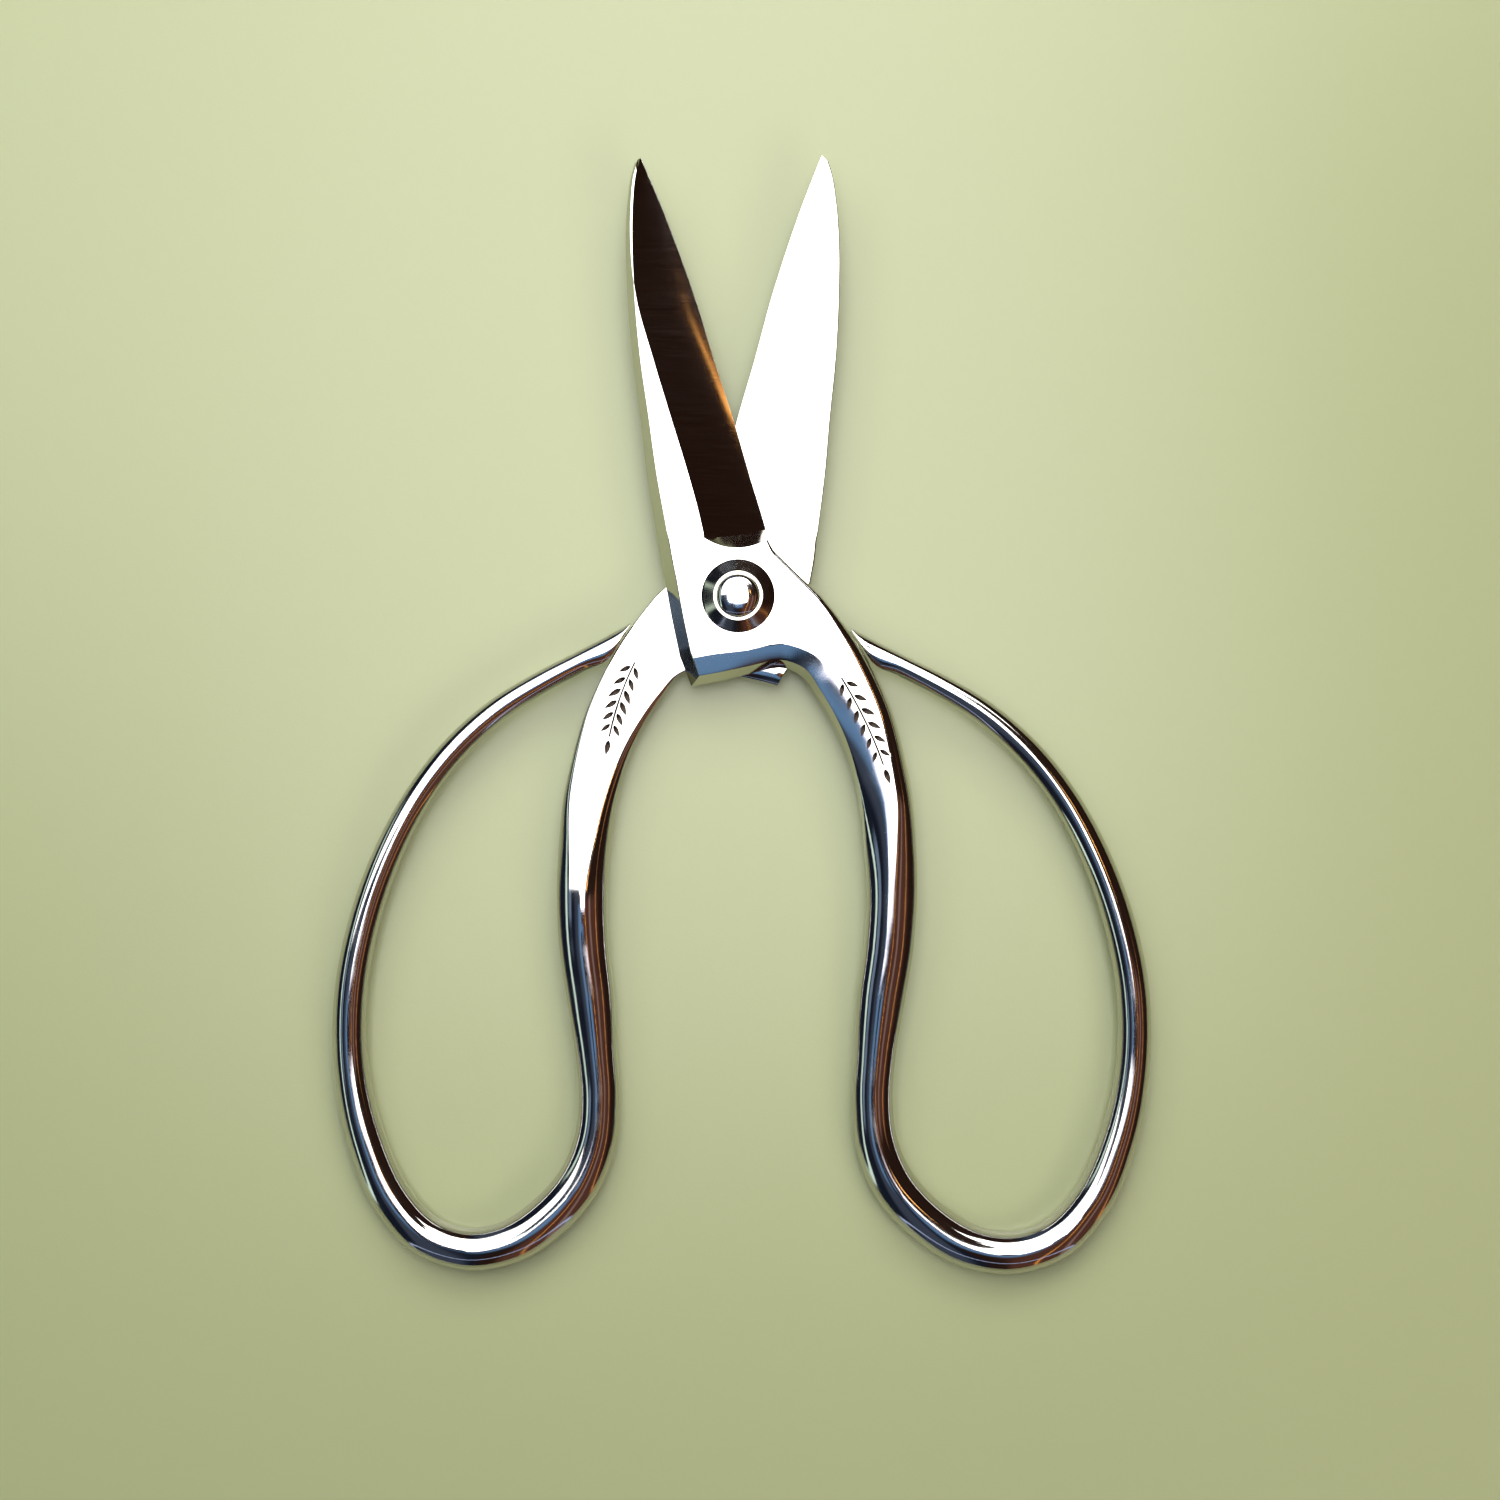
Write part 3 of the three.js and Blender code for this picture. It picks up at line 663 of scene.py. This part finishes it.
class Shader:
    """Short names for making one node material."""

    def __init__(self, name):
        self.material = bpy.data.materials.new(name)
        self.material.use_nodes = True
        self.tree = self.material.node_tree
        self.tree.nodes.clear()
        self.out = self.add("ShaderNodeOutputMaterial")
        self.surface = self.add("ShaderNodeBsdfPrincipled")
        self.link(self.surface.outputs["BSDF"], self.out.inputs["Surface"])
        self.place = self.add("ShaderNodeTexCoord").outputs["Object"]

    def add(self, kind, **values):
        node = self.tree.nodes.new(kind)
        for key, value in values.items():
            setattr(node, key, value)
        return node

    def link(self, source, target):
        self.tree.links.new(source, target)

    def feed(self, target, value):
        if isinstance(value, bpy.types.NodeSocket):
            self.link(value, target)
        else:
            target.default_value = value

    def math(self, operation, *values):
        node = self.add("ShaderNodeMath", operation=operation)
        for socket, value in zip(node.inputs, values):
            self.feed(socket, value)
        return node.outputs[0]

    def stretched(self, scale, turn=0.0):
        node = self.add("ShaderNodeMapping")
        self.link(self.place, node.inputs["Vector"])
        node.inputs["Scale"].default_value = scale
        node.inputs["Rotation"].default_value = (0.0, 0.0, turn)
        return node.outputs["Vector"]

    def noise(self, vector, scale, detail):
        node = self.add("ShaderNodeTexNoise")
        self.link(vector, node.inputs["Vector"])
        node.inputs["Scale"].default_value = scale
        node.inputs["Detail"].default_value = detail
        node.inputs["Roughness"].default_value = 0.5
        return node.outputs["Fac"]

    def cells(self, vector, scale):
        node = self.add("ShaderNodeTexVoronoi")
        self.link(vector, node.inputs["Vector"])
        node.inputs["Scale"].default_value = scale
        return node.outputs["Distance"]

    def span(self, value, low, high, to_low, to_high):
        """Turns the values from low to high smoothly into those from to_low to to_high."""
        node = self.add("ShaderNodeMapRange", interpolation_type="SMOOTHSTEP")
        self.feed(node.inputs["Value"], value)
        node.inputs["From Min"].default_value = low
        node.inputs["From Max"].default_value = high
        node.inputs["To Min"].default_value = to_low
        node.inputs["To Max"].default_value = to_high
        return node.outputs["Result"]

    def tint(self, factor, colour_a, colour_b):
        node = self.add("ShaderNodeMix", data_type="RGBA")
        self.feed(node.inputs[0], factor)
        self.feed(node.inputs[6], colour_a)
        self.feed(node.inputs[7], colour_b)
        return node.outputs[2]

    def bump(self, height, strength, distance, below=None):
        node = self.add("ShaderNodeBump")
        node.inputs["Strength"].default_value = strength
        node.inputs["Distance"].default_value = distance
        self.link(height, node.inputs["Height"])
        if below is not None:
            self.link(below, node.inputs["Normal"])
        return node.outputs["Normal"]

    def set(self, **values):
        for name, value in values.items():
            self.feed(self.surface.inputs[name.replace("_", " ")], value)


def rgb(red, green, blue):
    return (red, green, blue, 1.0)


def polished_steel(name, grain_turn):
    """Mirror polish with hand-polishing waves and light scratches from use."""
    shader = Shader(name)
    wave = shader.noise(shader.place, 90.0, 1.0)
    hair = shader.noise(shader.stretched((9000.0, 260.0, 3000.0), grain_turn), 1.0, 2.0)
    stray = shader.noise(shader.stretched((300.0, 7000.0, 3000.0), 0.6), 1.0, 2.0)
    cloud = shader.noise(shader.place, 160.0, 4.0)
    rough = shader.span(cloud, 0.35, 0.75, 0.06, 0.12)
    normal = shader.bump(wave, 0.05, 0.0004)
    normal = shader.bump(hair, 0.08, 0.00002, normal)
    normal = shader.bump(stray, 0.05, 0.00002, normal)
    shade = shader.tint(cloud, rgb(0.60, 0.585, 0.57), rgb(0.64, 0.63, 0.62))
    shader.set(Base_Color=shade, Metallic=1.0, Roughness=rough, Normal=normal)
    return shader.material


def ground_steel():
    """The hollow grind: fine lines straight across the blade."""
    shader = Shader("ground_steel")
    lines = shader.noise(shader.stretched((160.0, 9000.0, 160.0)), 1.0, 3.0)
    broad = shader.noise(shader.stretched((60.0, 1500.0, 60.0)), 1.0, 2.0)
    rough = shader.span(lines, 0.3, 0.7, 0.05, 0.10)
    normal = shader.bump(broad, 0.03, 0.00005)
    normal = shader.bump(lines, 0.03, 0.00002, normal)
    shade = shader.tint(lines, rgb(0.36, 0.32, 0.29), rgb(0.62, 0.57, 0.53))
    shader.set(Base_Color=shade, Metallic=1.0, Roughness=rough, Normal=normal)
    return shader.material


def groove_shade_painted_steel():
    """The struck marks' grooves get a dark colour as painted shade, and a duller surface."""
    shader = Shader("groove_shade_painted_steel")
    cloud = shader.noise(shader.place, 900.0, 4.0)
    # painted shade: the grooves' colour is darkened to stand in for the shade inside them
    shade = shader.tint(cloud, rgb(0.09, 0.07, 0.06), rgb(0.24, 0.21, 0.19))
    rough = shader.span(cloud, 0.3, 0.7, 0.25, 0.45)
    normal = shader.bump(cloud, 0.3, 0.0001)
    shader.set(Base_Color=shade, Metallic=1.0, Roughness=rough, Normal=normal)
    return shader.material


def turned_steel(name):
    """Steel turned on a lathe: fine rings round Z."""
    shader = Shader(name)
    parts = shader.add("ShaderNodeSeparateXYZ")
    shader.link(shader.place, parts.inputs[0])
    radius = shader.math("SQRT", shader.math(
        "ADD",
        shader.math("MULTIPLY", parts.outputs[0], parts.outputs[0]),
        shader.math("MULTIPLY", parts.outputs[1], parts.outputs[1]),
    ))
    ringed = shader.add("ShaderNodeCombineXYZ")
    shader.link(radius, ringed.inputs[0])
    rings = shader.noise(ringed.outputs[0], 9000.0, 3.0)
    cloud = shader.noise(shader.place, 700.0, 3.0)
    rough = shader.span(cloud, 0.3, 0.7, 0.10, 0.17)
    normal = shader.bump(rings, 0.2, 0.00003)
    shade = shader.tint(cloud, rgb(0.42, 0.39, 0.34), rgb(0.52, 0.49, 0.44))
    shader.set(Base_Color=shade, Metallic=1.0, Roughness=rough, Normal=normal)
    return shader.material


def peened_steel():
    """The rivet's ends: hammered, then polished, with small dents left."""
    shader = Shader("peened_steel")
    dents = shader.noise(shader.place, 520.0, 2.0)
    marks = shader.span(shader.cells(shader.place, 700.0), 0.02, 0.12, 0.0, 1.0)
    cloud = shader.noise(shader.place, 1100.0, 3.0)
    rough = shader.span(cloud, 0.3, 0.7, 0.06, 0.14)
    normal = shader.bump(dents, 0.14, 0.0002)
    normal = shader.bump(marks, 0.3, 0.00005, normal)
    shade = shader.tint(marks, rgb(0.30, 0.27, 0.26), rgb(0.66, 0.66, 0.67))
    shader.set(Base_Color=shade, Metallic=1.0, Roughness=rough, Normal=normal)
    return shader.material


def floor_card():
    """Pale green card with a faint tooth."""
    shader = Shader("floor_card")
    cloud = shader.noise(shader.place, 4.0, 3.0)
    tooth = shader.noise(shader.place, 2600.0, 2.0)
    shade = shader.tint(cloud, rgb(0.274, 0.296, 0.152), rgb(0.290, 0.313, 0.161))
    normal = shader.bump(tooth, 0.1, 0.0001)
    shader.set(Base_Color=shade, Metallic=0.0, Roughness=0.3, Specular_IOR_Level=0.5, Normal=normal)
    return shader.material


# ---- pieces ---------------------------------------------------------------------------------------
BORE_REACH = 0.01  # the bore's cutter stands out this far past the mating plane


def bore_cutter(material):
    low = MATING_Z - BORE_REACH
    high = MATING_Z + BORE_REACH
    return turned("bore", [(0.0, low), (BORE_RADIUS, low), (BORE_RADIUS, high), (0.0, high)], material)


def forging(name, hand_set, steel, grind):
    """One half before its marks, and the spots along the edges of its hollow grind."""
    rings, ground_rows = swept_rings(hand_set)
    points, faces = closed_surface(rings)
    made = new_object(name, points, faces, steel)
    made.data.materials.append(grind)
    columns = rings.shape[1]
    for row in range(ground_rows - 1):
        for column in range(EDGE_COLUMN, GRIND_COLUMN):
            made.data.polygons[row * columns + column].material_index = 1
    ground = rings[:ground_rows]
    creases = {spot(ring[column]) for ring in ground for column in (EDGE_COLUMN, GRIND_COLUMN)}
    clean(made)
    carve(made, bore_cutter(steel))
    return made, creases


def turn_over(target):
    """Turns a front piece over into the rear one's place."""
    target.data.transform(Matrix.Rotation(math.pi, 4, "Y"))
    target.data.transform(Matrix.Translation((0.0, 0.0, 2 * MATING_Z)))


DROP = 0.00065  # how far the mating side has dropped away where the sprig on it ends
DROP_FROM_Y = -0.0165
DROP_RUN = 0.0083


def top_face(y):
    """Height of the front side of the shank, which is level."""
    return MATING_Z + LAP_GAP + BLOCK_THICK


def mating_face(y):
    """Height of the mating side, which drops away down the shank towards the loop."""
    return MATING_Z + LAP_GAP - DROP * clamp((DROP_FROM_Y - y) / DROP_RUN) ** 2


def front_half(steel, grind, mark):
    half, creases = forging("front_forging", FRONT_SET, steel, grind)
    engrave(half, FRONT_SPRIG, top_face, 1, mark)
    mark_edges(half, creases)
    settle_normals(half)
    return half


def rear_half(steel, grind, mark):
    half, creases = forging("rear_forging", REAR_SET, steel, grind)
    engrave(half, REAR_SPRIG, mating_face, -1, mark)
    mark_edges(half, creases)
    turn_over(half)
    half.data.transform(Matrix.Rotation(REAR_TURN, 4, "Z"))
    settle_normals(half)
    return half


WASHER_FOOT = MATING_Z + LAP_GAP + BLOCK_THICK + WASHER_GAP
WASHER_TOP = WASHER_FOOT + WASHER_HEIGHT


def washer(name, material):
    """A coned washer with eased edges and a socket for the peened end."""
    socket_floor = WASHER_TOP - SOCKET_DEPTH
    profile = [
        (WASHER_BORE, WASHER_FOOT),
        (WASHER_OUTER - WASHER_EASE, WASHER_FOOT),
        (WASHER_OUTER, WASHER_FOOT + WASHER_EASE),
        (WASHER_OUTER, WASHER_FOOT + WASHER_EDGE - WASHER_EASE),
    ]
    for step in range(CONE_STEPS + 1):
        part = step / CONE_STEPS
        radius = WASHER_OUTER - WASHER_EASE + (WASHER_RIM + WASHER_EASE - WASHER_OUTER) * part
        rise = (WASHER_HEIGHT - WASHER_EDGE - WASHER_EASE) * part
        profile.append((radius, WASHER_FOOT + WASHER_EDGE + rise))
    profile += [
        (WASHER_RIM, WASHER_TOP),
        (WASHER_SOCKET + WASHER_EASE, WASHER_TOP),
        (WASHER_SOCKET, WASHER_TOP - WASHER_EASE),
        (WASHER_SOCKET, socket_floor),
        (WASHER_BORE, socket_floor),
        (WASHER_BORE, WASHER_FOOT),
    ]
    return turned(name, profile, material)


def domed_end(flat_height):
    """Points of the rivet's domed end from its axis out; flat_height cuts its crown off."""
    crown = min(WASHER_TOP + DOME_HEIGHT, flat_height)
    bend = 2 / DOME_POWER
    narrowest = math.acos(min(1.0, (crown - WASHER_TOP) / DOME_HEIGHT) ** (1 / bend))
    points = [(0.0, crown)] if narrowest > 0 else []
    for step in range(DOME_STEPS + 1):
        angle = narrowest + (math.pi / 2 - narrowest) * step / DOME_STEPS
        rise = max(0.0, math.cos(angle)) ** bend
        points.append((HEAD_RADIUS * math.sin(angle) ** bend, WASHER_TOP + DOME_HEIGHT * rise))
    foot = WASHER_TOP - SOCKET_DEPTH + LAP_GAP
    points += [(HEAD_RADIUS, foot), (SHAFT_RADIUS, foot)]
    return points


def rivet(material):
    front = domed_end(math.inf)
    rear = [(radius, 2 * MATING_Z - height) for radius, height in domed_end(2 * MATING_Z)]
    made = turned("rivet_peened", [*rear, *reversed(front)], material)
    mark_edges(made)
    settle_normals(made)
    return made


def build_snips():
    mark = groove_shade_painted_steel()
    grind = ground_steel()
    front = front_half(polished_steel("front_steel", FRONT_GRAIN), grind, mark)
    dress(front, "front_half", "front_half")
    rear = rear_half(polished_steel("rear_steel", REAR_GRAIN), grind, mark)
    dress(rear, "rear_half", "rear_half")
    front = washer("front_washer_turned", turned_steel("turned_steel"))
    mark_edges(front)
    settle_normals(front)
    dress(front, "front_washer", "rear_half")
    rear = washer("rear_washer_turned", turned_steel("turned_steel_rear"))
    mark_edges(rear)
    turn_over(rear)
    settle_normals(rear)
    dress(rear, "rear_washer", "rear_half")
    dress(rivet(peened_steel()), "pivot_rivet", "rear_half")


def dress(made, node, body):
    """Puts a finished piece in a CAD node's place and on its body."""
    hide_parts(node)
    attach(made, body)


# ---- stage ----------------------------------------------------------------------------------------
VIEW_WIDTH = 0.23145  # width of the view at the mating plane
CAMERA_HEIGHT = 0.55  # above the mating plane
CAMERA_AIM = (0.00182, -0.02361)
FLOOR_TILT = math.radians(1.95)  # the snips rest on the rivet and on the undersides of the loops


FLOOR_REACH = 8.0
SENSOR = 36.0  # mm


def build_floor():
    far = FLOOR_REACH
    floor = new_object(
        "floor",
        [(-far, -far, 0), (far, -far, 0), (far, far, 0), (-far, far, 0)],
        [(0, 1, 2, 3)],
        floor_card(),
    )
    floor.rotation_euler = (-FLOOR_TILT, 0.0, 0.0)


def build_camera():
    data = bpy.data.cameras.new("camera")
    data.sensor_width = SENSOR
    data.lens = SENSOR * CAMERA_HEIGHT / VIEW_WIDTH
    data.clip_start = 0.01
    camera = bpy.data.objects.new("camera", data)
    camera.location = (*CAMERA_AIM, MATING_Z + CAMERA_HEIGHT)
    bpy.context.scene.collection.objects.link(camera)
    bpy.context.scene.camera = camera


BACKDROP = rgb(0.52, 0.55, 0.40)


class Sky:
    """The room round the snips, as smooth patches of light over the direction vector."""

    def __init__(self, colour):
        world = bpy.data.worlds.new("room")
        world.use_nodes = True
        bpy.context.scene.world = world
        self.tree = world.node_tree
        self.tree.nodes.clear()
        self.out = self.tree.nodes.new("ShaderNodeOutputWorld")
        coordinates = self.tree.nodes.new("ShaderNodeTexCoord")
        split = self.tree.nodes.new("ShaderNodeSeparateXYZ")
        self.tree.links.new(coordinates.outputs["Generated"], split.inputs[0])
        self.x = split.outputs["X"]
        self.y = split.outputs["Y"]
        self.colour = colour

    def ramp(self, value, low, high):
        node = self.tree.nodes.new("ShaderNodeMapRange")
        node.interpolation_type = "SMOOTHSTEP"
        self.tree.links.new(value, node.inputs["Value"])
        node.inputs["From Min"].default_value = low
        node.inputs["From Max"].default_value = high
        return node.outputs["Result"]

    def times(self, a, b):
        node = self.tree.nodes.new("ShaderNodeMath")
        node.operation = "MULTIPLY"
        self.tree.links.new(a, node.inputs[0])
        self.tree.links.new(b, node.inputs[1])
        return node.outputs[0]

    def patch(self, colour, *limits):
        """Lays a patch of light over what is there. Each limit is (axis value, off at, full at)."""
        mask = None
        for value, off, full in limits:
            ramp = self.ramp(value, off, full)
            mask = ramp if mask is None else self.times(mask, ramp)
        node = self.tree.nodes.new("ShaderNodeMix")
        node.data_type = "RGBA"
        self.tree.links.new(mask, node.inputs[0])
        if isinstance(self.colour, tuple):
            node.inputs[6].default_value = self.colour
        else:
            self.tree.links.new(self.colour, node.inputs[6])
        node.inputs[7].default_value = colour
        self.colour = node.outputs[2]

    def finish(self):
        """The camera itself sees a plain backdrop past the floor, not the room."""
        background = self.tree.nodes.new("ShaderNodeBackground")
        self.tree.links.new(self.colour, background.inputs["Color"])
        backdrop = self.tree.nodes.new("ShaderNodeBackground")
        backdrop.inputs["Color"].default_value = BACKDROP
        mix = self.tree.nodes.new("ShaderNodeMixShader")
        path = self.tree.nodes.new("ShaderNodeLightPath")
        self.tree.links.new(path.outputs["Is Camera Ray"], mix.inputs[0])
        self.tree.links.new(background.outputs[0], mix.inputs[1])
        self.tree.links.new(backdrop.outputs[0], mix.inputs[2])
        self.tree.links.new(mix.outputs[0], self.out.inputs["Surface"])


DARK_BROWN = rgb(0.026, 0.012, 0.008)
NAVY = rgb(0.010, 0.014, 0.026)
STEEL_BLUE = rgb(0.055, 0.070, 0.105)
GREY_BLUE = rgb(0.20, 0.28, 0.40)
COPPER = rgb(0.11, 0.043, 0.028)
ROSE = rgb(0.30, 0.18, 0.15)
BLUE = rgb(0.16, 0.31, 0.55)
MINT = rgb(0.95, 1.2, 1.05)
ORANGE = rgb(1.2, 0.48, 0.10)
DULL_ORANGE = rgb(0.8, 0.34, 0.10)
PALE_BLUE = rgb(0.5, 0.6, 0.9)
LAMP = rgb(6.0, 2.8, 0.7)


def build_room():
    """What the steel mirrors beside the soft boxes: a dark room with coloured bands and bright slots."""
    sky = Sky(DARK_BROWN)
    x, y = sky.x, sky.y
    # Navy to the left, copper low on the right, blue below the snips.
    sky.patch(NAVY, (x, 0.0, -0.10))
    sky.patch(STEEL_BLUE, (x, -0.10, -0.22), (x, -0.60, -0.45))
    sky.patch(GREY_BLUE, (x, -0.66, -0.69), (x, -0.80, -0.76), (y, -0.16, -0.1), (y, 0.16, 0.1))
    sky.patch(COPPER, (x, 0.06, 0.16), (x, 0.92, 0.8), (y, 0.06, -0.02))
    sky.patch(ROSE, (x, 0.48, 0.52), (x, 0.60, 0.56), (y, 0.06, -0.02))
    sky.patch(BLUE, (y, -0.10, -0.14), (y, -0.40, -0.30), (x, -0.13, -0.06), (x, 0.18, 0.10))
    sky.patch(BLUE, (y, -0.02, -0.05), (y, -0.30, -0.20), (x, -0.17, -0.26), (x, -0.40, -0.28))
    # Narrow bright slots that draw lines along the bars.
    sky.patch(MINT, (x, -0.90, -0.88), (x, -0.82, -0.84), (y, 0.5, 0.3))
    sky.patch(ORANGE, (x, 0.30, 0.305), (x, 0.325, 0.32), (y, 0.02, -0.02))
    sky.patch(DULL_ORANGE, (x, 0.78, 0.785), (x, 0.81, 0.805), (y, 0.2, 0.0))
    sky.patch(PALE_BLUE, (y, -0.80, -0.79), (y, -0.76, -0.77))
    # A warm lamp at the right.
    sky.patch(LAMP, (x, 0.350, 0.356), (x, 0.376, 0.370), (y, 0.08, 0.11), (y, 0.24, 0.20))
    sky.finish()


BOX_HEIGHT = 0.61  # of the soft boxes over the floor
# Each box: x from and to, y from and to, radiance, colour. The last one is the dim rim of the first.
SOFT_BOXES = [
    (-0.165, 0.155, -0.075, 1.05, 6.2, (1.0, 1.0, 0.98)),
    (-0.70, -0.165, 0.04, 1.05, 3.0, (1.0, 1.0, 0.99)),
    (0.155, 0.26, 0.30, 1.05, 5.0, (1.0, 0.99, 0.97)),
    (0.26, 0.52, 0.45, 1.05, 5.0, (1.0, 0.99, 0.97)),
    (-0.165, 0.155, -0.092, -0.075, 1.6, (0.86, 0.82, 1.0)),
]


# The fill evens out the light on the floor. The steel doesn't mirror it.
FILL = (0.20, 0.70, -0.70, -0.20, 4.4, (1.0, 0.99, 0.97))


def soft_box(west, east, south, north, radiance, colour):
    data = bpy.data.lights.new("soft_box", "AREA")
    data.shape = "RECTANGLE"
    data.size = east - west
    data.size_y = north - south
    data.energy = math.pi * radiance * data.size * data.size_y
    data.color = colour
    box = bpy.data.objects.new("soft_box", data)
    box.location = ((west + east) / 2, (south + north) / 2, BOX_HEIGHT)
    box.visible_camera = False
    bpy.context.scene.collection.objects.link(box)
    return box


def build_soft_boxes():
    for box in SOFT_BOXES:
        soft_box(*box)
    soft_box(*FILL).visible_glossy = False


build_camera()
build_room()
build_soft_boxes()
build_floor()
build_snips()
bpy.context.scene.view_settings.view_transform = "Standard"
